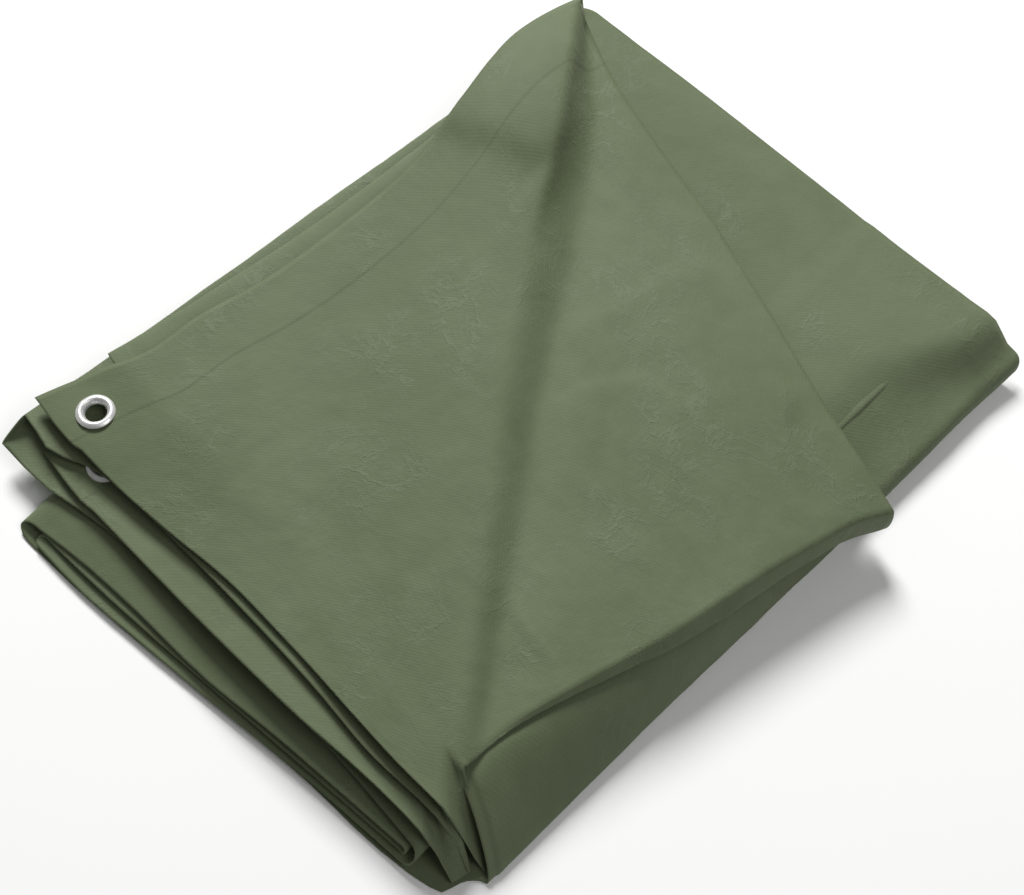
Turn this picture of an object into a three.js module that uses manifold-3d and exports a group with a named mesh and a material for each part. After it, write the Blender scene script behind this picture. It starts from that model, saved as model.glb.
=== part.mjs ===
// A folded poly tarp: one hemmed sheet folded back and forth, with two pressed eyelets.
// Millimetres, +Z up. The bundle lies on z = 0. +X runs from the back left side to the
// near right side, and +Y from the open hems to the far side.
import * as THREE from 'three';
import { mergeVertices } from 'three/addons/utils/BufferGeometryUtils.js';
import Module from 'manifold-3d';

// Driving dimensions
const SHEET_THICKNESS = 1.2;
const HEM_THICKNESS = 2.0;
const HEM_WIDTH = 36;
const PIECE_GAP = 0.3;
const BUNDLE_WIDTH = 310;
const BUNDLE_LENGTH = 416;
const EYELET = {
  holeRadius: 5.85,
  barrelRadius: 6.7,
  flangeRadius: 11,
  flangeThickness: 1,
  clothHoleRadius: 7.1,
};
const EYELET_SIDES = 24;

const COLOURS = {
  cloth: 0x6e775c,
  hem: 0x687157,
  eyelet: 0xc9cbcd,
};

// Layers from top to bottom. level is the height of the layer's middle; left and right are
// the X of its two ends, front and back the Y of its two open edges, each at both ends.
// The left end and the front edge bow by leftBow and frontBow at their middle. At the near
// right corner some layers hang over the bundle's edge: ear is how far they go on to the
// right, drape how far down, swing how far towards the front, and earDepth the Y length
// over which this fades.
const LAYERS = {
  top: { level: 38.5, left: [-27, -25], right: [281, 341], front: [-17, -9], back: [401, 278],
    leftBow: 0, frontBow: 6, ear: 37, drape: 30, swing: 0, earDepth: 18, cells: 15 },
  under: { level: 33.5, left: [-17, -19], right: [281, 340], front: [26, -9], back: [397, 276],
    leftBow: 9, frontBow: 3, ear: 31, drape: 30, swing: 0, earDepth: 18, cells: 5 },
  wrap: { level: 29, left: [-17, -19], right: [318, 318], front: [28, 9], back: [413, 416],
    leftBow: 9, frontBow: 2, ear: 0, drape: 0, swing: 0, earDepth: 0, cells: 13 },
  second: { level: 25, left: [-20, -14], right: [282, 283], front: [-18, -15], back: [409, 411],
    leftBow: 4, frontBow: 5, ear: 28, drape: 17.5, swing: 9, earDepth: 15, cells: 5 },
  third: { level: 21, left: [-3, 3], right: [281, 282], front: [-33, -23], back: [406, 412],
    leftBow: 0, frontBow: 2, ear: 26, drape: 17.5, swing: 1, earDepth: 15, cells: 5 },
  fourth: { level: 17, left: [-19, -13], right: [270, 270], front: [-44, -32], back: [411, 408],
    leftBow: 3, frontBow: 2, ear: 0, drape: 0, swing: 0, earDepth: 0, cells: 6 },
  fifth: { level: 12.6, left: [24, -2], right: [267, 266], front: [-62, -31], back: [404, 411],
    leftBow: 0, frontBow: 1, ear: 0, drape: 0, swing: 0, earDepth: 0, cells: 5 },
  sixth: { level: 8.6, left: [29, 4], right: [267, 266], front: [-59, -33], back: [406, 407],
    leftBow: 0, frontBow: 1, ear: 0, drape: 0, swing: 0, earDepth: 0, cells: 4 },
  seventh: { level: 4.6, left: [29, 4], right: [270, 270], front: [-67, -36], back: [409, 405],
    leftBow: 0, frontBow: 0, ear: 0, drape: 0, swing: 0, earDepth: 0, cells: 4 },
  base: { level: 0.6, left: [24, -2], right: [318, 318], front: [-70, 6], back: [412, 404],
    leftBow: 0, frontBow: 0, ear: 0, drape: 0, swing: 0, earDepth: 0, cells: 5 },
};
const EAR_SHARE = 0.825;
const EAR_CELLS = 5;
const EAR_STATION = 0.1;
const DRAPE_SHARE = 0.955;

// The order in which the one sheet runs through the layers. turn is the fold that follows,
// with its reach past the ends of the layers at the front and at the back.
const RUN = [
  { layer: 'top', turn: { reach: [2.5, 3], belly: 3.5, cells: 3 } },
  { layer: 'under', turn: { reach: [10, 10], belly: 0, cells: 4 } },
  { layer: 'wrap', turn: { reach: [10, 10], belly: 0, cells: 5 } },
  { layer: 'base', turn: { reach: [12, 12], belly: 0, cells: 5 } },
  { layer: 'fifth', turn: { reach: [3, 3], belly: 0, cells: 3 } },
  { layer: 'sixth', turn: { reach: [4, 4], belly: 0, cells: 3 } },
  { layer: 'seventh', turn: { reach: [9, 8], belly: 0, cells: 4 } },
  { layer: 'fourth', turn: { reach: [13, 11], belly: 0, cells: 4 } },
  { layer: 'second', turn: { reach: [4, 3], belly: 0, cells: 4 } },
  { layer: 'third' },
];

// Places along the sheet's other direction, from the front hem at 0 to the far hem at 1
const STATIONS = [0, 0.02, 0.04, 0.06, 0.08, 0.1, 0.14, 0.19, 0.25, 0.32, 0.39, 0.46,
  0.53, 0.6, 0.67, 0.74, 0.8, 0.86, 0.91, 0.955, 1];
const HEM_STATION = 0.1;

// The diagonal pleat of the top layer runs from the far left corner to the near right one.
const PLEAT_TOP = new THREE.Vector2(-15, 392);
const PLEAT_FOOT = new THREE.Vector2(282, 8);

const lerp = THREE.MathUtils.lerp;
const blend = (from, to, value) => THREE.MathUtils.smoothstep(value, from, to);
const hump = (offset, width) => Math.exp(-((offset / width) ** 2));

// A slope that eases out: straight below `start`, level past `end`
function easedSlope(value, start, end, slope) {
  if (value >= end) return 0;
  if (value <= start) return -slope * ((end - start) / 2 + start - value);
  return -slope * (end - value) ** 2 / (2 * (end - start));
}

function pleatPlace(x, y) {
  const axis = PLEAT_FOOT.clone().sub(PLEAT_TOP);
  const length = axis.length();
  axis.divideScalar(length);
  const fromTop = new THREE.Vector2(x, y).sub(PLEAT_TOP);
  return { along: fromTop.dot(axis) / length, across: fromTop.x * -axis.y + fromTop.y * axis.x };
}

// How far each layer stands above or below its level at a plan position
const RELIEF = {
  top(x, y) {
    const { along, across } = pleatPlace(x, y);
    const stepWidth = lerp(5, 12, blend(0, 0.35, along));
    const leftSide = 1 - blend(-stepWidth, stepWidth, across);
    const bulge = 17 * hump(x - 6, 85) * hump(y - 335, 82) * leftSide;
    const shoulder = 3.5 * leftSide * (1 - blend(10, 90, -across));
    const trough = -2 * hump(across - stepWidth, 15) * (1 - leftSide);
    const droop = easedSlope(y, 14, 40, lerp(0.2, 0.04, blend(40, 240, x)));
    const farEdge = lerp(401, 278, (x + 25) / 366) - y;
    const farHem = -2 * (1 - blend(0, 26, farEdge)) * (1 - leftSide);
    const outerCorner = -4 * blend(306, 342, x) * blend(140, 230, y);
    return bulge + shoulder + trough + droop + farHem + outerCorner;
  },
  under(x, y) {
    return -8 * blend(302, 338, x) * blend(110, 200, y);
  },
  wrap(x, y) {
    const shoulder = -15 * blend(284, 319, x);
    const crease = 1.2 * hump(x - 205, 14) * blend(300, 360, y);
    const farRound = -1.2 * blend(385, 416, y) * (1 - blend(284, 319, x));
    return shoulder + crease + farRound;
  },
  second(x, y) {
    return 4 * blend(40, 100, x) * (1 - blend(-12, 8, y)) * (1 - blend(240, 275, x));
  },
};

// The gentle unevenness that all layers share, less near the ground
function waviness(level, x, y) {
  const wave = Math.sin(x / 47 + 0.6) * Math.sin(y / 62 + 1.1) + 0.5 * Math.sin((x + y) / 38);
  return 0.9 * wave * blend(4, 30, level) * blend(-10, 60, y) * blend(10, 60, x);
}

function layerPoint(name, across, along) {
  const layer = LAYERS[name];
  const fan = Math.max(across - EAR_SHARE, 0) / (1 - EAR_SHARE);
  const hang = Math.max(across - DRAPE_SHARE, 0) / (1 - DRAPE_SHARE);
  const earShare = Math.max(1 - along / EAR_STATION, 0);
  let left = lerp(...layer.left, along) + layer.leftBow * Math.sin(Math.PI * along);
  if (name === 'top') left += 27 * (blend(-0.03, 0.36, along) - blend(0.57, 0.87, along));
  const x = lerp(left, lerp(...layer.right, along), across) + layer.ear * earShare * fan ** 2;
  const bow = layer.frontBow * Math.sin(Math.PI * across);
  const front = lerp(...layer.front, across) + bow - layer.swing * fan ** 2;
  const depth = lerp(...layer.back, across) - front;
  let y = front + depth * along;
  if (layer.ear) {
    const early = layer.earDepth * (1 - earShare);
    const late = (depth - layer.earDepth) * Math.max(along - EAR_STATION, 0) / (1 - EAR_STATION);
    y = lerp(y, front + early + late, blend(0.6, 1, across));
  }
  const relief = RELIEF[name] ? RELIEF[name](x, y) : 0;
  const z = layer.level + relief + waviness(layer.level, x, y) - layer.drape * earShare * hang;
  return new THREE.Vector3(x, y, z);
}

// The way in which a layer would go on past its end, square to that end's edge
function onwardWay(name, end, along) {
  const step = 0.005;
  const edge = layerPoint(name, end, along);
  const edgeWay = layerPoint(name, end, along + step).sub(layerPoint(name, end, along - step)).normalize();
  const way = edge.sub(layerPoint(name, Math.abs(end - 3 * step), along)).normalize();
  return way.addScaledVector(edgeWay, -way.dot(edgeWay)).normalize();
}

// A fold between two layer ends is a Bezier curve that leaves each layer straight on.
function turnPoint(from, to, end, turn, share, along) {
  const belly = turn.belly * Math.sin(Math.PI * blend(0.25, 1, along));
  const handle = (lerp(...turn.reach, along) + belly) * 4 / 3;
  const start = layerPoint(from, end, along);
  const finish = layerPoint(to, end, along);
  const curve = new THREE.CubicBezierCurve3(
    start,
    start.clone().addScaledVector(onwardWay(from, end, along), handle),
    finish.clone().addScaledVector(onwardWay(to, end, along), handle),
    finish,
  );
  return curve.getPoint(share);
}

const evenShares = (from, to, cells) => Array.from({ length: cells + 1 }, (_, i) => lerp(from, to, i / cells));

// Columns of the whole sheet, in the order of RUN, each a function of the station
function sheetColumns() {
  const columns = [];
  RUN.forEach(({ layer, turn }, index) => {
    const forwards = index % 2 === 0;
    const { cells, ear } = LAYERS[layer];
    const hemShare = HEM_WIDTH / BUNDLE_WIDTH;
    const free = index === 0 || index === RUN.length - 1;
    const shares = evenShares(0, ear ? EAR_SHARE : 1, cells);
    if (ear) shares.push(...evenShares(EAR_SHARE, 1, EAR_CELLS).slice(1));
    if (free) shares.splice(0, shares.filter((s) => s < hemShare * 1.3).length,
      0, hemShare / 2, hemShare, hemShare + 0.006);
    if (!forwards) shares.reverse();
    for (const share of shares) {
      const inHem = free && share <= hemShare;
      columns.push({
        layer,
        share,
        inHem,
        thickness: inHem ? HEM_THICKNESS : SHEET_THICKNESS,
        point: (along) => layerPoint(layer, share, along),
      });
    }
    if (!turn) return;
    const next = RUN[index + 1].layer;
    const end = forwards ? 1 : 0;
    for (let i = 1; i < turn.cells; i += 1) {
      columns.push({
        thickness: SHEET_THICKNESS,
        point: (along) => turnPoint(layer, next, end, turn, i / turn.cells, along),
      });
    }
  });
  return columns;
}

// A closed sheet of given thickness over a grid of columns and stations, less the cells
// that leaveOut names
function clothGeometry(columns, stations, leaveOut = () => false) {
  const middle = columns.map((column) => stations.map((along) => column.point(along)));
  const last = { column: columns.length - 1, station: stations.length - 1 };
  const positions = [];
  columns.forEach((column, i) => {
    stations.forEach((_, j) => {
      const across = middle[Math.min(i + 1, last.column)][j].clone().sub(middle[Math.max(i - 1, 0)][j]);
      const along = middle[i][Math.min(j + 1, last.station)].clone().sub(middle[i][Math.max(j - 1, 0)]);
      const normal = across.cross(along).normalize();
      for (const side of [0.5, -0.5]) {
        positions.push(...middle[i][j].clone().addScaledVector(normal, side * column.thickness));
      }
    });
  });
  const vertex = (i, j, side) => (i * stations.length + j) * 2 + side;
  const kept = (i, j) => i >= 0 && j >= 0 && i < last.column && j < last.station && !leaveOut(i, j);
  const triangles = [];
  const addFace = (a, b, c, d) => triangles.push(a, b, c, a, c, d);
  const addWall = (i0, j0, i1, j1) => {
    addFace(vertex(i0, j0, 0), vertex(i0, j0, 1), vertex(i1, j1, 1), vertex(i1, j1, 0));
  };
  for (let i = 0; i < last.column; i += 1) {
    for (let j = 0; j < last.station; j += 1) {
      if (!kept(i, j)) continue;
      const corners = [[i, j], [i + 1, j], [i + 1, j + 1], [i, j + 1]];
      const diagonal = (a, b) => middle[a[0]][a[1]].distanceTo(middle[b[0]][b[1]]);
      if (diagonal(corners[1], corners[3]) < diagonal(corners[0], corners[2])) corners.push(corners.shift());
      const [a, b, c, d] = corners.map(([column, station]) => vertex(column, station, 0));
      addFace(a, b, c, d);
      addFace(a + 1, d + 1, c + 1, b + 1);
      if (!kept(i, j - 1)) addWall(i, j, i + 1, j);
      if (!kept(i, j + 1)) addWall(i + 1, j + 1, i, j + 1);
      if (!kept(i - 1, j)) addWall(i, j + 1, i, j);
      if (!kept(i + 1, j)) addWall(i + 1, j, i + 1, j + 1);
    }
  }
  const used = [...new Set(triangles)];
  const renumber = new Map(used.map((old, index) => [old, index]));
  const geometry = new THREE.BufferGeometry();
  const kept3 = used.flatMap((old) => positions.slice(old * 3, old * 3 + 3));
  geometry.setAttribute('position', new THREE.Float32BufferAttribute(kept3, 3));
  geometry.setIndex(triangles.map((old) => renumber.get(old)));
  return geometry;
}

const wasm = await Module();
wasm.setup();

function toSolid(geometry) {
  const bare = geometry.clone();
  bare.deleteAttribute('normal');
  bare.deleteAttribute('uv');
  const merged = mergeVertices(bare, 1e-4);
  return new wasm.Manifold(new wasm.Mesh({
    numProp: 3,
    vertProperties: new Float32Array(merged.attributes.position.array),
    triVerts: new Uint32Array(merged.index.array),
  }));
}

function toGeometry(solid) {
  const mesh = solid.getMesh();
  const geometry = new THREE.BufferGeometry();
  geometry.setAttribute('position', new THREE.BufferAttribute(mesh.vertProperties, 3));
  geometry.setIndex(new THREE.BufferAttribute(mesh.triVerts, 1));
  return geometry;
}

function namedMesh(name, geometry, colour, roughness, metalness) {
  geometry.computeVertexNormals();
  const material = new THREE.MeshStandardMaterial({ color: colour, roughness, metalness, flatShading: true });
  const mesh = new THREE.Mesh(geometry, material);
  mesh.name = name;
  return mesh;
}

// Where an eyelet sits on its layer, and the way that it faces
function eyeletSeat(layer, share, along) {
  const step = 0.01;
  const centre = layerPoint(layer, share, along);
  const across = layerPoint(layer, share + step, along).sub(centre);
  const onwards = layerPoint(layer, share, along + step).sub(centre);
  const facing = across.cross(onwards).normalize();
  return { centre, turn: new THREE.Quaternion().setFromUnitVectors(new THREE.Vector3(0, 1, 0), facing) };
}

function eyeletGeometry() {
  const cloth = HEM_THICKNESS / 2 + PIECE_GAP;
  const outside = cloth + EYELET.flangeThickness;
  const { holeRadius, barrelRadius, flangeRadius } = EYELET;
  const profile = [
    [holeRadius, -outside + 0.4],
    [holeRadius + 0.5, -outside],
    [flangeRadius - 0.8, -outside],
    [flangeRadius, -cloth],
    [barrelRadius, -cloth],
    [barrelRadius, cloth],
    [flangeRadius, cloth],
    [flangeRadius - 0.5, outside - 0.2],
    [flangeRadius - 2, outside],
    [holeRadius + 0.9, outside - 0.2],
    [holeRadius, outside - 0.8],
  ];
  const points = [...profile, profile[0]].map(([radius, height]) => new THREE.Vector2(radius, height));
  const geometry = new THREE.LatheGeometry(points, EYELET_SIDES);
  geometry.deleteAttribute('normal');
  geometry.deleteAttribute('uv');
  return mergeVertices(geometry, 1e-4);
}

// The hemmed corner of a free layer end, parted from the sheet by the piece gap
function hemCornerGeometry(layer, seat) {
  const hemShare = HEM_WIDTH / BUNDLE_WIDTH - PIECE_GAP / BUNDLE_WIDTH;
  const farStation = HEM_STATION - PIECE_GAP / BUNDLE_LENGTH;
  const columns = [0, 0.5, 1].map((part) => ({
    thickness: HEM_THICKNESS,
    point: (along) => layerPoint(layer, part * hemShare, along),
  }));
  const stations = [...STATIONS.filter((along) => along < HEM_STATION), farStation];
  const hole = new THREE.CylinderGeometry(EYELET.clothHoleRadius, EYELET.clothHoleRadius, 12, EYELET_SIDES);
  hole.applyQuaternion(seat.turn);
  hole.translate(...seat.centre);
  return toGeometry(toSolid(clothGeometry(columns, stations)).subtract(toSolid(hole)));
}

const tarp = new THREE.Group();

const columns = sheetColumns();
const hemRows = STATIONS.indexOf(HEM_STATION);
const inHemCorner = (i, j) => j < hemRows && columns[i].inHem && columns[i + 1].inHem;
tarp.add(namedMesh('tarp_sheet', clothGeometry(columns, STATIONS, inHemCorner), COLOURS.cloth, 0.5, 0));

const EYELET_PLACES = [
  { place: 'upper', layer: 'top', share: 25 / BUNDLE_WIDTH, along: 17 / BUNDLE_LENGTH },
  { place: 'lower', layer: 'third', share: 27 / BUNDLE_WIDTH, along: 19 / BUNDLE_LENGTH },
];
for (const { place, layer, share, along } of EYELET_PLACES) {
  const seat = eyeletSeat(layer, share, along);
  tarp.add(namedMesh(`hem_corner_${place}`, hemCornerGeometry(layer, seat), COLOURS.hem, 0.5, 0));
  const eyelet = namedMesh(`eyelet_${place}`, eyeletGeometry(), COLOURS.eyelet, 0.3, 0.9);
  eyelet.quaternion.copy(seat.turn);
  eyelet.position.copy(seat.centre);
  tarp.add(eyelet);
}

// The origin goes to the middle of the bundle's footprint.
const bounds = new THREE.Box3().setFromObject(tarp, true);
const origin = bounds.getCenter(new THREE.Vector3()).setZ(bounds.min.z);
for (const piece of tarp.children) piece.position.sub(origin);

export default tarp;
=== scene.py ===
# %% [markdown]
# A folded poly tarp. The packed CAD model is the frame: it gives the place and the size of
# each piece, and its solids stay behind for collision. We load it first and keep its box,
# because the finished tarp may stand only a little proud of it.

from collections import namedtuple
from math import cos, pi, radians, sin

import bmesh
import bpy
import numpy as np
from mathutils import Matrix, Vector, noise


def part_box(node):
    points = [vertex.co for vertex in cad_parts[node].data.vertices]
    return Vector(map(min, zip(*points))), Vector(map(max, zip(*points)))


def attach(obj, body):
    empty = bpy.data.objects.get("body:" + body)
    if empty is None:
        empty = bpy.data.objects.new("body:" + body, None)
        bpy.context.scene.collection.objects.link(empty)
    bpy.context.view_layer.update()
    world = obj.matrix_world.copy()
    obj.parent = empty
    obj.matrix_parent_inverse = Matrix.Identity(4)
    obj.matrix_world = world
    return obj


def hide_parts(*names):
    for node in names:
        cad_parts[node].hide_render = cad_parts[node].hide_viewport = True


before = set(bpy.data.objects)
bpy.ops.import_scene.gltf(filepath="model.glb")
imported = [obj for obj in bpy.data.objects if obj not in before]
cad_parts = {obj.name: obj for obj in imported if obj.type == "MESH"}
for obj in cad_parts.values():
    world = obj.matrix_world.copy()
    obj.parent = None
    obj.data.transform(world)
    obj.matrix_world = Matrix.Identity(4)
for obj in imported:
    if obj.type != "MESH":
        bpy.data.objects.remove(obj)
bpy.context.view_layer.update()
scene = bpy.context.scene
print("nodes:", sorted(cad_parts))

# %% [markdown]
# The camera stands where the photographer stood. The two sets of long edges of the bundle run
# to two vanishing points, which give the lens and the three turns of the camera. The known
# size of the eyelet gives the distance.

# %% Camera
camera_data = bpy.data.cameras.new("camera")
camera_data.sensor_width = 36
camera_data.lens = 48.95
camera_data.clip_end = 20
camera = bpy.data.objects.new("camera", camera_data)
camera.location = (0.23126, -0.26910, 0.71726)
camera.rotation_euler = (radians(25.675), radians(-2.242), radians(45.747))
scene.collection.objects.link(camera)
scene.camera = camera

# %% [markdown]
# The cloth is one sheet that is folded back and forth. A cloth simulation could fold it, but it
# wouldn't stop at the folds of the photograph, so each layer of the bundle is a row in a table:
# its height, its left and right ends, its back edge, and how it hangs over the near right
# corner. All lengths are millimetres, in a plan whose zero is close to the upper eyelet.

# %% Layers of the bundle
PLAN_ORIGIN = np.array([155.41, 173.0, 0.0])
SHEET_THICKNESS = 0.8

Layer = namedtuple("Layer", "level left right back ear drape ear_depth columns")
LAYERS = {
    "top": Layer(38.5, (-27, -25), (277, 341), (401, 278), 41, 34.5, 21, 104),
    "under": Layer(33.5, (-17, -19), (276, 340), (397, 276), 39, 35, 20, 22),
    "wrap": Layer(29.0, (-16, -18), (280, 318), (413, 419), 0, 0, 0, 52),
    "second": Layer(25.0, (-29.5, -14), (283, 283), (409, 411), 30, 28.5, 17, 30),
    "third": Layer(21.0, (-7, 3), (281, 282), (406, 412), 30, 25, 17, 34),
    "fourth": Layer(17.0, (-30.5, -13), (284, 276), (411, 408), 0, 0, 0, 16),
    "fifth": Layer(12.6, (22, -2), (282, 266), (404, 411), 0, 0, 0, 14),
    "sixth": Layer(8.6, (27, 4), (282, 267), (406, 407), 0, 0, 0, 12),
    "seventh": Layer(4.6, (27, 4), (285, 270), (409, 405), 0, 0, 0, 14),
    "base": Layer(0.6, (22, -2), (322, 319), (412, 406), 0, 0, 0, 34),
}
print(len(LAYERS), "layers in the bundle")

# %% [markdown]
# A real tarp is never folded quite true. Straight front edges would be quicker, but the fanned
# edges are what makes the bundle look like cloth, so the front edge of every layer is a line
# of plan points of its own, from left to right.

# %% Front edges
FRONT_EDGE = {
    "top": [(-30, -15.5), (-5, -17.6), (20, -17.4), (45, -16.4), (82, -13), (120, -8.5), (174, -7.5),
            (257, -9), (294, -8), (307, -8.7), (314.5, -9.6), (319, -9)],
    "under": [(-20, 28), (60, 14), (150, 2), (240, -3), (281, -4), (300, -5), (319, -8)],
    "wrap": [(-20, 30), (60, 18), (150, 10), (240, 7), (280, 8), (318, 8)],
    "second": [(-31, -26), (-15, -28), (-5, -29.5), (4, -27), (13, -22), (26, -18), (43, -15.6), (82, -13.6),
               (145, -12.4), (200, -12.8), (245, -14.6), (274, -12.4), (293, -11.8), (305, -12.6), (314, -16)],
    "third": [(-7, -30.6), (32, -33.5), (54, -33), (88, -32.4), (129, -31.4), (167, -29.8), (203, -27.6),
              (235, -24.2), (266, -22), (293, -21.8), (304, -22.7), (312, -25)],
    "fourth": [(-31, -44.5), (10, -42.7), (30, -38), (60, -33), (100, -29.5), (160, -27), (240, -26), (290, -28)],
    "fifth": [(20, -60), (50, -55), (92, -51), (146, -48), (197, -41), (267, -33), (285, -31)],
    "sixth": [(25, -60), (60, -58), (104, -54), (156, -48), (267, -35), (285, -33)],
    "seventh": [(25, -66), (62, -65), (104, -60), (156, -53), (221, -43.5), (290, -36)],
    "base": [(20, -68), (62, -65), (104, -60), (156, -52.3), (221, -43.6), (278, -39), (299, -35), (308, -32),
             (311, -30), (313, -23), (318, -15), (323, -12)],
}
# The hem is double, so it stands a little proud at the front until its inner line
HEM_STEPS = {"top": (9.5, 1.3), "third": (33.5, 1.2)}
print("longest front edge:", max(FRONT_EDGE, key=lambda name: len(FRONT_EDGE[name])))

# %% [markdown]
# The back edge of the top runs at a slant, because the last fold was laid askew. That edge and
# the ends that aren't straight are lines too: each point is a share of the way along the edge,
# or a distance, and the place of the edge there.

# %% Back and side edges
# Back edge of the top, from its left end to its right end
TOP_BACK = [(0, 402), (0.044, 394.5), (0.157, 375.5), (0.261, 363), (0.357, 353), (0.475, 341.5), (0.563, 330),
            (0.64, 320.5), (0.775, 302), (0.874, 290), (1, 277.5)]
# Left and right ends that are not straight, as shares of the way from front to back
TOP_LEFT = [(-17, -30), (19, -19), (42, -10), (81, -8), (118, -2), (180, 0), (236, -3), (265, -8),
            (290, -13), (312, -18.5), (337, -23.5), (377, -25), (401, -23)]
TOP_RIGHT = [(0.1, 277), (0.18, 278), (0.308, 286), (0.406, 293.5), (0.503, 301), (0.614, 307.5), (0.725, 313.5),
             (0.832, 321), (0.943, 330), (1, 338)]
WRAP_RIGHT = [(0, 280), (0.062, 282), (0.153, 289), (0.224, 296), (0.303, 303), (0.377, 308), (0.468, 313),
              (0.59, 317), (0.79, 319), (0.92, 320), (1, 322)]
print("back edge of the top:", len(TOP_BACK), "points")

# %% [markdown]
# Where one layer turns into the next, the cloth makes a round fold. Loose folds bulge further
# than pressed ones, so each turn has its reach at the front and at the back, and a belly
# between them. The list also gives the order in which the one sheet runs through the layers.

# %% Folds between the layers
Turn = namedtuple("Turn", "front back belly columns")
RUN = [
    ("top", Turn(2.5, 4.5, 5, 12)),
    ("under", Turn(10, 9, 0, 10)),
    ("wrap", Turn(7.5, 8, 0, 16)),
    ("base", Turn(12, 12, 0, 12)),
    ("fifth", Turn(3, 3, 0, 7)),
    ("sixth", Turn(4, 4, 0, 7)),
    ("seventh", Turn(7, 8, 0, 8)),
    ("fourth", Turn(1, 11, 0, 12)),
    ("second", Turn(3, 3, 0, 9)),
    ("third", None),
]
# The corner that fans out: where it starts across and along a layer, and where it starts to hang
EAR_SHARE = 0.825
EAR_STATION = 0.1
DRAPE_SHARE = 0.955
print(sum(turn is not None for _, turn in RUN), "folds join the layers")

# %% [markdown]
# A few small functions describe every shape. They all take whole arrays, so one call works out
# thousands of points. `ease` is a soft step, `hump` a soft hill and `curve` a smooth line
# through the points of a table. Blender's own curves could draw such lines as well, but plain
# arrays let the relief be added point by point.

# %% Shape helpers
def lerp(a, b, share):
    return a + (b - a) * share


def ease(start, end, value):
    share = np.clip((value - start) / (end - start), 0, 1)
    return share * share * (3 - 2 * share)


def hump(offset, width):
    return np.exp(-((offset / width) ** 2))


def curve(points, x):
    knots = np.array(points, float)
    slopes = np.gradient(knots[:, 1], knots[:, 0])
    x = np.clip(x, knots[0, 0], knots[-1, 0])
    i = np.clip(np.searchsorted(knots[:, 0], x) - 1, 0, len(knots) - 2)
    width = knots[i + 1, 0] - knots[i, 0]
    t = (x - knots[i, 0]) / width
    start = (1 + 2 * t) * (1 - t) ** 2 * knots[i, 1] + t * (1 - t) ** 2 * width * slopes[i]
    end = t * t * (3 - 2 * t) * knots[i + 1, 1] + t * t * (t - 1) * width * slopes[i + 1]
    return start + end


def along_line(points, x, y):
    """Distance from a line of plan points, its sign, and the share of the line's length."""
    near = np.full(np.shape(x), 1e9)
    side = np.zeros(np.shape(x))
    share = np.zeros(np.shape(x))
    knots = np.array(points, float)
    lengths = np.linalg.norm(np.diff(knots, axis=0), axis=1)
    total, done = lengths.sum(), 0.0
    for (ax, ay), (bx, by), length in zip(knots[:-1], knots[1:], lengths):
        t = np.clip(((x - ax) * (bx - ax) + (y - ay) * (by - ay)) / length**2, 0, 1)
        dx, dy = x - lerp(ax, bx, t), y - lerp(ay, by, t)
        distance = np.hypot(dx, dy)
        closer = distance < near
        near = np.where(closer, distance, near)
        side = np.where(closer, np.sign(dx * (by - ay) - dy * (bx - ax)), side)
        share = np.where(closer, (done + t * length) / total, share)
        done += length
    return near, side, share


def noise_field(x, y, size, seed):
    flat = [noise.noise(Vector((a / size, b / size, seed))) for a, b in zip(np.ravel(x), np.ravel(y))]
    return np.array(flat).reshape(np.shape(x))


print("halfway up a soft step:", ease(0, 2, 1))

# %% [markdown]
# The top layer carries the folds that the eye reads first. A diagonal pleat runs from the far
# left corner to the near right one: its left side is a crest, and the cloth falls from it to
# a valley on the right. The crest is sharp at the top, ends in a small tuck and then turns
# soft. It could be sculpted by hand, but as tables along the pleat it can be put right number
# by number against the photograph.

# %% Lines of the pleat
PLEAT_TOP = np.array([-15.0, 392.0])
PLEAT_FOOT = np.array([282.0, 8.0])
# Share of the pleat's length, and where its crest and its valley lie across it
PLEAT_CREST = [(0, 0), (0.1, -0.5), (0.25, -2), (0.36, -8), (0.5, -12), (0.62, -11), (0.78, -8), (1, -3)]
PLEAT_VALLEY = [(0, 4), (0.08, 14), (0.16, 21), (0.25, 23), (0.36, 20), (0.5, 15), (0.7, 13), (1, 9)]
PLEAT_FALL = [(0, 2), (0.08, 8), (0.2, 14), (0.35, 17), (0.6, 17), (0.8, 14), (1, 6)]
print("deepest fall of the pleat:", max(fall for _, fall in PLEAT_FALL), "mm")

# %% [markdown]
# Storage leaves creases that stay when the tarp is opened. A ridge is a low line that stands
# up or lies in, and a step is a place where one side lies higher than the other. Only the
# creases that show clearly have their own line. The small ones come from the material.

# %% Old creases
Crease = namedtuple("Crease", "points height width kind")
TUCK_STEP = 1.8
CREASES = [
    Crease([(166, 181), (171, 207), (190, 237), (203, 237), (226, 241)], 0.35, 3, "step"),
    Crease([(256, 297), (267, 269), (292, 255), (315, 240)], 0.8, 4, "step"),
    Crease([(141, 216), (150, 251), (158, 290), (171, 326)], 0.5, 8, "ridge"),
    Crease([(220, 92), (238, 87.5), (254, 83), (273, 83)], 0.8, 2.2, "ridge"),
    Crease([(211, 108.5), (227, 109.5), (240, 111.5)], 0.4, 2, "ridge"),
    Crease([(62, 290), (42, 284), (20, 276), (-24, 262)], TUCK_STEP, 8, "step"),
    Crease([(60, 322), (112, 312)], -0.4, 2.0, "ridge"),
    Crease([(58, 312), (100, 305)], 0.4, 2.0, "ridge"),
]
# How far the front of each lower layer sinks
DROOP = {"fifth": 5.5, "sixth": 3.0, "seventh": 1.5}
print(len(CREASES), "creases")

# %% [markdown]
# The relief is a height that is added to a layer at each plan point. The top gets the pleat, a
# broad bulge at its far left corner and the curl of its hem corner. The other layers only sink
# or rise where they show.

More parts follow.
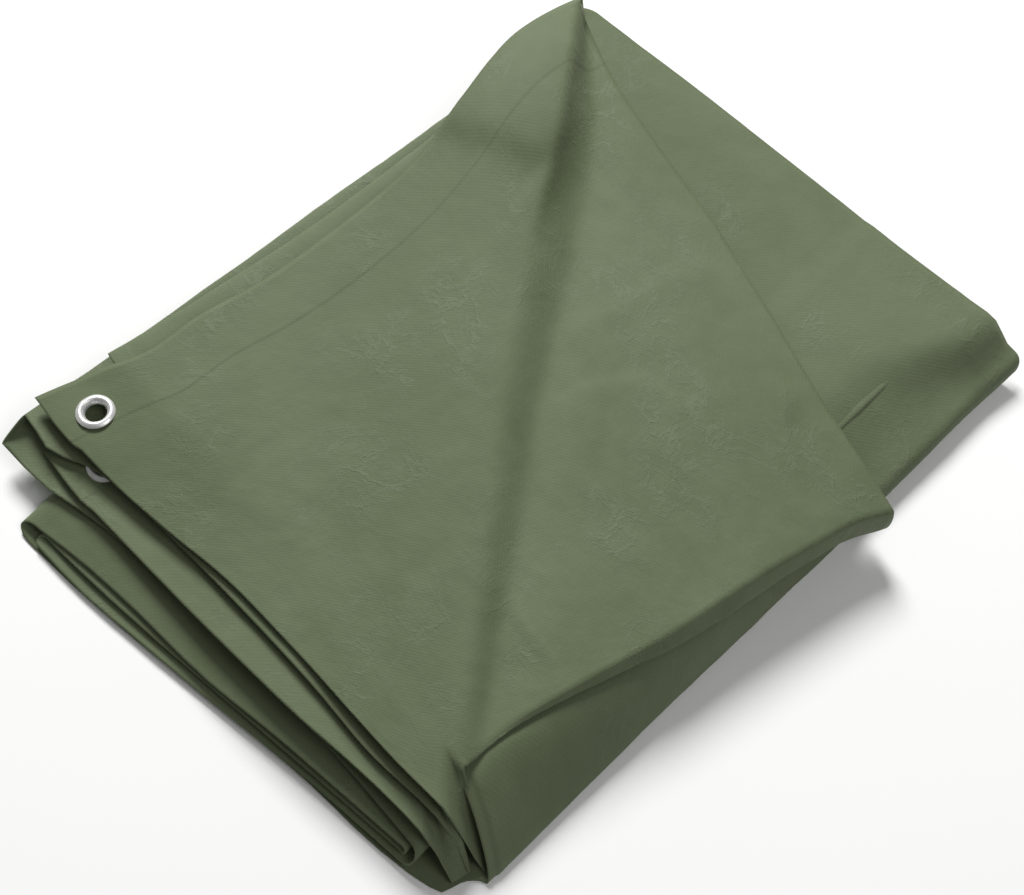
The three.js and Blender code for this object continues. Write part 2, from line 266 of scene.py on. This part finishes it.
# %% Relief of the top layer
def pleat_place(x, y):
    axis = PLEAT_FOOT - PLEAT_TOP
    length = np.hypot(*axis)
    axis = axis / length
    from_x, from_y = x - PLEAT_TOP[0], y - PLEAT_TOP[1]
    along = (from_x * axis[0] + from_y * axis[1]) / length
    return along, from_x * -axis[1] + from_y * axis[0]


def crease_relief(x, y):
    total = np.zeros(np.shape(x))
    for points, height, width, kind in CREASES:
        distance, side, share = along_line(points, x, y)
        fade = ease(0, 0.12, share) * (1 - ease(0.85, 1, share))
        if kind == "ridge":
            total = total + height * hump(distance, width) * (0.3 + 0.7 * fade)
        else:
            total = total + height * np.tanh(side * distance / width) * hump(distance, 6 * width) * fade
    return total


def top_relief(x, y):
    along, across = pleat_place(x, y)
    crest = curve(PLEAT_CREST, along)
    valley = curve(PLEAT_VALLEY, along)
    fall = curve(PLEAT_FALL, along)
    soft = lerp(0.6, 3.5, ease(0.24, 0.34, along))
    share = np.clip((across - crest) / (valley - crest), 0, 1)
    drop = lerp(1 - (1 - share) ** 2, share * share * (3 - 2 * share), ease(0.3, 0.42, along))
    left = 1 - ease(crest - soft, valley, across)
    bulge = 17 * hump(x - 6, 85) * hump(y - 335, 82)
    lifted = bulge * (1 - drop)
    lip = fall * 0.55 * (1 - drop) * (1 - ease(8, 90, crest - across))
    rebound = -2.0 * hump(across - valley, 15) * (1 - left)
    droop = 0.12 * np.minimum(y - 30, 0) * (1 - ease(40, 240, x)) + 0.03 * np.minimum(y - 25, 0)
    far_edge = curve(TOP_BACK, (x + 24) / 365) - y
    far_hem = -2 * (1 - ease(0, 26, far_edge)) * (1 - left)
    outer_corner = -4 * ease(306, 342, x) * ease(140, 230, y)
    curl = 2.6 * (1 - ease(-17, 14, y)) * (1 - ease(-5, 50, x))
    return lifted + lip + rebound + droop + far_hem + outer_corner + curl


print("height of the bulge:", round(float(top_relief(6, 335)), 1), "mm")

# %% Relief of every layer
def layer_relief(name, x, y):
    if name == "top":
        return top_relief(x, y) + crease_relief(x, y)
    if name == "under":
        return 3 * (1 - ease(20, 150, y)) * ease(200, 272, x) - 18 * ease(300, 336, x) * ease(120, 210, y)
    if name == "wrap":
        near = 5.2 * (1 - ease(30, 170, y)) * ease(200, 280, x)
        start = lerp(264, 298, ease(330, 410, y))
        shoulder = -15 * ease(start, 320, x) * ease(140, 260, y)
        crease = 0.4 * np.tanh((x - 209) / 1.5) * hump(x - 209, 9) * ease(300, 340, y)
        return near + shoulder + crease - 1.2 * ease(385, 416, y) * (1 - ease(284, 319, x))
    if name == "second":
        return lerp(1, 8, ease(10, 190, x)) * (1 - ease(0, 30, y))
    if name == "third":
        return lerp(0, 7.5, ease(10, 190, x)) * (1 - ease(-8, 30, y))
    if name == "fourth":
        return -2.0 * (1 - ease(-44, -25, y)) * (1 - ease(-10, 30, x))
    if name in DROOP:
        return -DROOP[name] * (1 - ease(-64, -36, y)) * (1 - ease(150, 260, x))
    return np.zeros(np.shape(x))


def waviness(level, x, y):
    wave = np.sin(x / 47 + 0.6) * np.sin(y / 62 + 1.1) + 0.5 * np.sin((x + y) / 38)
    return 0.9 * wave * ease(4, 30, level) * ease(-10, 60, y) * ease(10, 60, x)


# %% [markdown]
# `layer_point` puts a point of a layer in its place. Near the front right corner the upper
# layers fan out: their folds swing forward and hang down to the ground. A fold between two
# layers is a Bezier curve that leaves both layers straight on, so the sheet never kinks.

# %% Points of the layers and of the folds
def layer_point(name, across, along):
    layer = LAYERS[name]
    across, along = np.broadcast_arrays(np.asarray(across, float), np.asarray(along, float))
    fan = np.maximum(across - EAR_SHARE, 0) / (1 - EAR_SHARE)
    hang = np.maximum(across - DRAPE_SHARE, 0) / (1 - DRAPE_SHARE)
    ear_share = np.maximum(1 - along / EAR_STATION, 0)
    left = lerp(*layer.left, along)
    right = lerp(*layer.right, along)
    if name in ("under", "wrap"):
        left = left + 13 * np.sin(pi * along)
    if name == "top":
        left = curve(TOP_LEFT, lerp(-17, 401, along))
    if name in ("top", "under"):
        right = curve(TOP_RIGHT, along) - (0 if name == "top" else 1)
    if name == "wrap":
        right = curve(WRAP_RIGHT, along)
    front_x = lerp(left, right, across) + layer.ear * fan**2
    x = lerp(left, right, across) + layer.ear * ear_share * fan**2
    front = curve(FRONT_EDGE[name], front_x)
    if name in HEM_STEPS:
        step_x, step = HEM_STEPS[name]
        front = front - step * (1 - ease(step_x - 1.2, step_x + 1.2, front_x))
    back = lerp(*layer.back, across)
    if name in ("top", "under"):
        back = curve(TOP_BACK, across) - (0 if name == "top" else 3)
    depth = back - front
    y = front + depth * along
    if layer.ear:
        early = layer.ear_depth * (1 - ear_share)
        late = (depth - layer.ear_depth) * np.maximum(along - EAR_STATION, 0) / (1 - EAR_STATION)
        y = lerp(y, front + early + late, ease(0.6, 1, across))
    z = layer.level + layer_relief(name, x, y) + waviness(layer.level, x, y)
    return np.stack([x, y, z - layer.drape * ear_share * hang], axis=-1)


def unit(way):
    return way / np.linalg.norm(way, axis=-1, keepdims=True)


def onward_way(name, end, along):
    step = 0.005
    edge = layer_point(name, end, along)
    edge_way = unit(layer_point(name, end, along + step) - layer_point(name, end, along - step))
    way = unit(edge - layer_point(name, abs(end - 3 * step), along))
    return unit(way - edge_way * (way * edge_way).sum(-1, keepdims=True))


# The fold at the right end of the top is pressed: its sheet turns down sharply at the crest
CREST_PRESS = 1.3


def turn_points(first, second, end, turn, share, along):
    belly = turn.belly * np.sin(pi * ease(0.25, 1, along))
    handle = ((lerp(turn.front, turn.back, along) + belly) * 4 / 3)[:, None]
    a, d = layer_point(first, end, along), layer_point(second, end, along)
    leaving = onward_way(first, end, along)
    if first == "top":
        leaving = unit(leaving - np.array([0, 0, CREST_PRESS]) * ease(0.08, 0.35, along)[:, None])
    b = a + leaving * handle
    c = d + onward_way(second, end, along) * handle
    u = 1 - share
    return u**3 * a + 3 * u * u * share * b + 3 * u * share * share * c + share**3 * d


# %% [markdown]
# Now the sheet itself. We start from Blender's own grid, one column for each line across the
# run of the cloth and one row for each station along it, and move every point to its place.
# The UV map is the flat sheet in metres, so weave and wrinkles follow the cloth round the folds.

# %% The folded sheet
STATIONS = np.concatenate([
    np.linspace(0, 0.02, 7)[:-1], np.linspace(0.02, EAR_STATION, 13)[:-1], np.linspace(EAR_STATION, 1, 96),
])


def layer_shares(name):
    layer = LAYERS[name]
    if name == "base":
        return np.concatenate([np.linspace(0, 0.9, 17)[:-1], np.linspace(0.9, 1, 19)])
    if not layer.ear:
        return np.linspace(0, 1, layer.columns + 1)
    ear_columns = max(8, layer.columns // 5)
    flat = np.linspace(0, EAR_SHARE, layer.columns - ear_columns + 1)
    return np.concatenate([flat[:-1], np.linspace(EAR_SHARE, 1, ear_columns + 1)])


columns, places = [], []
for index, (name, turn) in enumerate(RUN):
    forwards = index % 2 == 0
    shares = layer_shares(name)
    for share in shares if forwards else shares[::-1]:
        columns.append(layer_point(name, share, STATIONS))
        places.append((name, share))
    if turn:
        end = 1 if forwards else 0
        for share in np.linspace(0, 1, turn.columns + 1)[1:-1]:
            columns.append(turn_points(name, RUN[index + 1][0], end, turn, share, STATIONS))
            places.append((name + " turn", share))
points = np.array(columns)
print(points.shape[0], "columns and", points.shape[1], "stations")

# %% [markdown]
# The cloth has been creased and smoothed many times, so no part is quite even. A Displace
# modifier could do this with a vertex group that spares the flat base. Here three sizes of
# noise move each point a fraction of a millimetre along the cloth's own face. The hem at the
# front of the right fold lies a little lower than the panel behind it.

# %% Small unevenness
FLAT_WIDTH = 425
RIGHT_HEM_STEP = 0.9
across_way = np.gradient(points, axis=0)
along_way = np.gradient(points, axis=1)
face = unit(np.cross(across_way, along_way))
developed = np.concatenate([[0], np.cumsum(np.linalg.norm(np.diff(points, axis=0), axis=2).mean(axis=1))])
flat_v = STATIONS * FLAT_WIDTH
flat_u, flat_v = np.meshgrid(developed, flat_v, indexing="ij")
soft = noise_field(flat_u, flat_v, 46, 1.5) * 0.55
crumple = noise_field(flat_u, flat_v, 17, 7.5)
fine = noise_field(flat_u, flat_v, 8, 4.5) * 0.1
calm = np.array([0.25 if name == "base" else 1.0 for name, _ in places])[:, None]
uneven = (soft + (0.3 - abs(crumple)) * 0.35 + fine) * calm
right_fold = np.array([1.0 if name == "wrap turn" else 0.0 for name, _ in places])[:, None]
uneven = uneven - RIGHT_HEM_STEP * right_fold * (1 - ease(0.0135, 0.0175, STATIONS))
points = points + face * uneven[..., None]
points[..., 2] = np.maximum(points[..., 2], SHEET_THICKNESS / 2)
points = (points - PLAN_ORIGIN) / 1000
print("largest unevenness:", round(float(np.abs(uneven).max()), 2), "mm")

# %% [markdown]
# The points become faces. Blender's grid operator makes the faces, and the loop only moves its
# corners, so there is no list of faces of our own to get wrong.

# %% Make the mesh from a grid
column_count, station_count = points.shape[:2]
mesh_data = bmesh.new()
bmesh.ops.create_grid(mesh_data, x_segments=column_count - 1, y_segments=station_count - 1, size=0.5)
flat_map = mesh_data.loops.layers.uv.new("flat_sheet")
for vertex in mesh_data.verts:
    i = round((vertex.co.x + 0.5) * (column_count - 1))
    j = round((vertex.co.y + 0.5) * (station_count - 1))
    vertex.index = i * station_count + j
    vertex.co = points[i, j]
for quad in mesh_data.faces:
    for loop in quad.loops:
        i, j = divmod(loop.vert.index, station_count)
        loop[flat_map].uv = (flat_u[i, j] / 1000, flat_v[i, j] / 1000)
    quad.smooth = True
print(len(mesh_data.faces), "faces in the sheet")

# %% [markdown]
# An eyelet is pressed from two thin discs of aluminium: a flange with a rolled edge and a throat
# that goes down through the cloth, and a washer below it. Each one stays where its CAD node is
# in plan, at the height and close to the tilt of the cloth that carries it. The cloth gets a
# hole there. A boolean cut would give a round edge, but the flange hides it, so it is enough to
# take out the faces under it.

# %% Eyelet seats and holes in the cloth
Seat = namedtuple("Seat", "name node layer tilt_axis tilt")
SEATS = [
    Seat("eyelet_top", "eyelet_upper", "top", (0.78, 0.62, 0), -4),
    Seat("eyelet_tucked", "eyelet_lower", "third", (0.9, 0.3, 0), 3),
]
CLOTH_HOLE_RADIUS = 0.0078
CLOTH_HOLE_DEPTH = 0.0035
SEAT_RISE = 0.0007


def seat_matrix(seat):
    # The CAD node gives the place in plan, and the cloth that carries the eyelet its height
    low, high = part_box(seat.node)
    centre = (low + high) / 2
    carrier = points[[name == seat.layer for name, _ in places]].reshape(-1, 3)
    nearest = np.argsort(np.hypot(carrier[:, 0] - centre.x, carrier[:, 1] - centre.y))[:6]
    height = float(carrier[nearest, 2].mean()) + SEAT_RISE
    print(seat.name, "stands", round((height - centre.z) * 1000, 1), "mm above the middle of its node")
    centre.z = height
    return Matrix.Translation(centre) @ Matrix.Rotation(radians(seat.tilt), 4, Vector(seat.tilt_axis))


seat_centres = [seat_matrix(seat).translation for seat in SEATS]


def under_eyelet(quad):
    centre = quad.calc_center_median()
    gaps = [centre - seat_centre for seat_centre in seat_centres]
    return any(gap.length < CLOTH_HOLE_RADIUS and abs(gap.z) < CLOTH_HOLE_DEPTH for gap in gaps)


holes = [quad for quad in mesh_data.faces if under_eyelet(quad)]
bmesh.ops.delete(mesh_data, geom=holes, context="FACES")
print(len(holes), "faces taken out under the eyelets")

# %% [markdown]
# The mesh becomes an object. A second copy of the sheet could be its underside, but a Solidify
# modifier gives it its thickness and closes the edges as well. The sheet stands for the CAD
# sheet and for both of its hem corners.

# %% The sheet as an object
sheet_mesh = bpy.data.meshes.new("folded_sheet")
mesh_data.to_mesh(sheet_mesh)
mesh_data.free()
sheet = bpy.data.objects.new("folded_sheet", sheet_mesh)
scene.collection.objects.link(sheet)
thickness = sheet.modifiers.new("thickness", "SOLIDIFY")
thickness.thickness = SHEET_THICKNESS / 1000
thickness.offset = 0
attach(sheet, "root")
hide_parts("tarp_sheet", "hem_corner_upper", "hem_corner_lower")
print("flat length of the cloth:", round(developed[-1]), "mm")

# %% [markdown] Both discs of an eyelet come from one closed line of points, drawn at one side
# of the axis and spun once round it. A Screw modifier could do the same, but a spun mesh can be
# dented a little afterwards.

# %% Eyelets
# Radius and height in millimetres, down the throat, out under the washer and back over the flange
EYELET_LINE = [
    (6.5, 0.3), (6.1, -0.7), (5.95, -1.6), (6.1, -2.2), (7.2, -2.35), (9.2, -2.0), (9.4, -1.7), (9.2, -1.4),
    (7.4, -1.5), (6.9, -1.1), (6.8, 0.4), (7.2, 0.8), (9.9, 0.35), (10.7, -0.1), (11.1, 0.05), (11.05, 0.45),
    (10.4, 1.0), (9.6, 1.55), (8.8, 1.85), (8.0, 1.75), (7.2, 1.15),
]
EYELET_STEPS = 48
EYELET_SCALE = 0.985


def make_eyelet(seat):
    ring = bmesh.new()
    line = [ring.verts.new((radius / 1000, 0, height / 1000)) for radius, height in EYELET_LINE]
    edges = [ring.edges.new((a, b)) for a, b in zip(line, line[1:] + line[:1])]
    bmesh.ops.spin(ring, geom=line + edges, cent=(0, 0, 0), axis=(0, 0, 1), angle=2 * pi,
                   steps=EYELET_STEPS, use_merge=True)
    bmesh.ops.remove_doubles(ring, verts=ring.verts, dist=1e-6)
    for point in ring.verts:
        dent = noise.noise(Vector((point.co.x * 260, point.co.y * 260, len(seat.name)))) * 0.00018
        point.co.z += dent
        point.co *= EYELET_SCALE
    bmesh.ops.recalc_face_normals(ring, faces=ring.faces)
    bmesh.ops.transform(ring, matrix=seat_matrix(seat), verts=ring.verts)
    for quad in ring.faces:
        quad.smooth = True
    mesh = bpy.data.meshes.new(seat.name)
    ring.to_mesh(mesh)
    ring.free()
    eyelet = bpy.data.objects.new(seat.name, mesh)
    scene.collection.objects.link(eyelet)
    rounding = eyelet.modifiers.new("rounding", "SUBSURF")
    rounding.levels = rounding.render_levels = 2
    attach(eyelet, "root")
    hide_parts(seat.node)
    return eyelet


eyelets = [make_eyelet(seat) for seat in SEATS]
print(len(eyelets), "eyelets spun")

# %% [markdown]
# The floor is one large plain square, as in a product studio. A curved backdrop would hide the horizon, but from
# the photograph's place the camera looks down and doesn't see it.

# %% Floor
floor_data = bmesh.new()
bmesh.ops.create_grid(floor_data, x_segments=1, y_segments=1, size=6)
floor_mesh = bpy.data.meshes.new("floor")
floor_data.to_mesh(floor_mesh)
floor_data.free()
floor = bpy.data.objects.new("floor", floor_mesh)
floor.location.z = -0.0002
scene.collection.objects.link(floor)
print("floor lies at", round(floor.location.z * 1000, 1), "mm")

# %% [markdown]
# The photograph is lit by one large soft lamp behind the far left side, so the near sides lie
# in shade and every fold shows. A dim lamp on the right keeps the long flap readable, and a
# little even light from all round fills the rest.

# %% Light
EVEN_LIGHT = 0.15
world = bpy.data.worlds.new("studio")
world.use_nodes = True
world.node_tree.nodes["Background"].inputs["Color"].default_value = (1, 1, 1, 1)
world.node_tree.nodes["Background"].inputs["Strength"].default_value = EVEN_LIGHT
scene.world = world


def area_light(name, azimuth, elevation, distance, size, watts):
    data = bpy.data.lights.new(name, "AREA")
    data.shape = "DISK"
    data.size = size
    data.energy = watts
    light = bpy.data.objects.new(name, data)
    level = cos(radians(elevation)) * distance
    height = sin(radians(elevation)) * distance
    light.location = (level * cos(radians(azimuth)), level * sin(radians(azimuth)), height)
    light.rotation_euler = light.location.to_track_quat("Z", "Y").to_euler()
    scene.collection.objects.link(light)


area_light("key", 146, 40, 4.0, 1.4, 192)
area_light("side_fill", 20, 55, 4.0, 2.0, 34)

# %% [markdown]
# Materials are built from nodes, and node sums are easiest to read as plain arithmetic. `Wire`
# wraps a socket, so `weave * 0.5 + 1` adds the Math nodes itself. `Finish` holds one material:
# `node` adds any other node, with its settings first and then its sockets.

# %% Node arithmetic
class Wire:
    def __init__(self, tree, socket):
        self.tree, self.socket = tree, socket

    def maths(self, operation, *values):
        node = self.tree.nodes.new("ShaderNodeMath")
        node.operation = operation
        for place, value in zip(node.inputs, values):
            if isinstance(value, Wire):
                self.tree.links.new(value.socket, place)
            else:
                place.default_value = value
        return Wire(self.tree, node.outputs[0])

    def __add__(self, other):
        return self.maths("ADD", self, other)

    def __radd__(self, other):
        return self.maths("ADD", other, self)

    def __sub__(self, other):
        return self.maths("SUBTRACT", self, other)

    def __rsub__(self, other):
        return self.maths("SUBTRACT", other, self)

    def __mul__(self, other):
        return self.maths("MULTIPLY", self, other)

    def __rmul__(self, other):
        return self.maths("MULTIPLY", other, self)

    def sine(self):
        return self.maths("SINE", self)

    def size(self):
        return self.maths("ABSOLUTE", self)


class Finish:
    def __init__(self, name):
        self.material = bpy.data.materials.new(name)
        self.material.use_nodes = True
        self.tree = self.material.node_tree
        self.shader = self.tree.nodes["Principled BSDF"]

    def node(self, kind, output=0, settings=None, **sockets):
        node = self.tree.nodes.new("ShaderNode" + kind)
        for name, value in (settings or {}).items():
            setattr(node, name, value)
        for name, value in sockets.items():
            self.plug(node.inputs[name.replace("_", " ")], value)
        return Wire(self.tree, node.outputs[output])

    def plug(self, place, value):
        if isinstance(value, Wire):
            self.tree.links.new(value.socket, place)
        else:
            place.default_value = value

    def set(self, **sockets):
        for name, value in sockets.items():
            self.plug(self.shader.inputs[name.replace("_", " ")], value)

    def noise(self, place, scale, detail=2.0, roughness=0.5, distortion=0.0):
        return self.node("TexNoise", Vector=place, Scale=scale, Detail=detail, Roughness=roughness,
                         Distortion=distortion)

    def step(self, value, start, end):
        return self.node("MapRange", settings={"interpolation_type": "SMOOTHSTEP"}, Value=value,
                         From_Min=start, From_Max=end)

    def blend(self, share, first, second):
        node = self.tree.nodes.new("ShaderNodeMix")
        node.data_type = "RGBA"
        self.plug(node.inputs[0], share)
        self.plug(node.inputs[6], first)
        self.plug(node.inputs[7], second)
        return Wire(self.tree, node.outputs[2])


print("operators:", [name for name in vars(Wire) if name.startswith("__r")])

# %% [markdown]
# The cloth is woven from flat plastic tapes and coated on both sides, so the weave shows only
# as a faint grain under a satin skin. The UV map is the flat sheet in metres, so tapes of a
# little over one millimetre stay the same size round every fold. Creases from packing are thin
# bent lines: where a slow noise crosses its middle value, the surface gets a fine ridge.
# Along the free ends the hem is welded double, and its inner edge shows as a low step. An image
# of real cloth would be an easy way to all this, but nodes keep it sharp at every distance.

# %% Cloth finish
TAPE_WIDTH = 0.0013
HEM_WIDTH = 0.038
cloth = Finish("coated_woven_cloth")
flat_place = cloth.node("UVMap", settings={"uv_map": "flat_sheet"})
split = cloth.tree.nodes.new("ShaderNodeSeparateXYZ")
cloth.plug(split.inputs[0], flat_place)
across, along = Wire(cloth.tree, split.outputs[0]), Wire(cloth.tree, split.outputs[1])
warp = (across * (pi / TAPE_WIDTH)).sine()
weft = (along * (pi / TAPE_WIDTH)).sine()
weave = warp * weft

slow = cloth.noise(flat_place, 9, 3)
patches = cloth.noise(flat_place, 42, 4, 0.6)
grain = cloth.noise(flat_place, 900, 2, 0.6)
crinkle_place = cloth.noise(flat_place, 30, 5, 0.62, 0.6)
crinkle = 1 - cloth.step((crinkle_place - 0.5).size(), 0.0, 0.035)
fine_place = cloth.noise(flat_place, 95, 4, 0.6, 0.8)
fine_crinkle = 1 - cloth.step((fine_place - 0.5).size(), 0.0, 0.07)
worn = cloth.step(cloth.noise(flat_place, 14, 2), 0.42, 0.66)

first_hem = cloth.step(across, HEM_WIDTH - 0.002, HEM_WIDTH + 0.001)
last_hem = cloth.step(developed[-1] / 1000 - across, HEM_WIDTH - 0.002, HEM_WIDTH + 0.001)
hem_height = 2 - first_hem - last_hem
seam = first_hem * (1 - first_hem) + last_hem * (1 - last_hem)

deep = (0.112, 0.141, 0.073, 1)
pale = (0.134, 0.166, 0.092, 1)
dust = (0.160, 0.186, 0.122, 1)
tone = cloth.blend(cloth.step(slow * 0.6 + patches * 0.4, 0.35, 0.65), deep, pale)
tone = cloth.blend(crinkle * worn * 0.20 + fine_crinkle * worn * 0.14 + weave * 0.06 + grain * 0.10, tone, dust)
tone = cloth.blend(seam * 0.7, tone, (0.085, 0.108, 0.052, 1))
height = (
    weave * 0.00003 + grain * 0.00005 + patches * 0.0008 + crinkle * worn * 0.00015
    + fine_crinkle * worn * 0.00009 + hem_height * 0.00025
)
cloth.set(
    Base_Color=tone,
    Roughness=0.64 + patches * 0.14 - crinkle * worn * 0.06,
    Normal=cloth.node("Bump", Strength=0.85, Distance=1.0, Height=height),
)
cloth.set(Specular_IOR_Level=0.27)
sheet_mesh.materials.append(cloth.material)
print("cloth finish:", len(cloth.tree.nodes), "nodes")

# %% [markdown]
# The eyelets are bright aluminium, dulled by handling. One plain grey would look like plastic,
# so smears change its tint and roughness, and fine scratches break up its shine. The pattern is
# on Object coordinates, which are metres from the scene's zero, so each eyelet gets its own.

# %% Metal finish
metal = Finish("pressed_aluminium")
place = metal.node("TexCoord", output=3)
smear = metal.noise(place, 220, 4, 0.6)
scratch = metal.noise(place, 1400, 5, 0.7, 2.0)
wear = metal.step(scratch, 0.52, 0.66)
tint = metal.blend(metal.step(smear, 0.38, 0.68), (0.90, 0.90, 0.89, 1), (0.76, 0.76, 0.74, 1))
metal.set(
    Base_Color=metal.blend(wear * 0.35, tint, (0.92, 0.92, 0.91, 1)),
    Roughness=0.26 + smear * 0.22 + wear * 0.08,
    Normal=metal.node("Bump", Strength=0.5, Distance=1.0, Height=scratch * 0.00004 + smear * 0.00008),
)
metal.set(Metallic=0.6)
for eyelet in eyelets:
    eyelet.data.materials.append(metal.material)
print("metal finish:", len(metal.tree.nodes), "nodes")

# %% [markdown]
# The floor is matt and almost white. One flat colour could do, but very slow cloudiness keeps
# it from looking like a void.

# %% Floor finish
paper = Finish("pale_floor")
cloud = paper.noise(paper.node("TexCoord", output=3), 2.5, 2)
paper.set(Base_Color=paper.blend(cloud, (0.93, 0.93, 0.925, 1), (0.97, 0.97, 0.965, 1)))
paper.set(Roughness=0.8, Specular_IOR_Level=0.2)
floor_mesh.materials.append(paper.material)
scene.view_settings.view_transform = "Standard"
print("floor finish:", len(paper.tree.nodes), "nodes")

# %% [markdown]
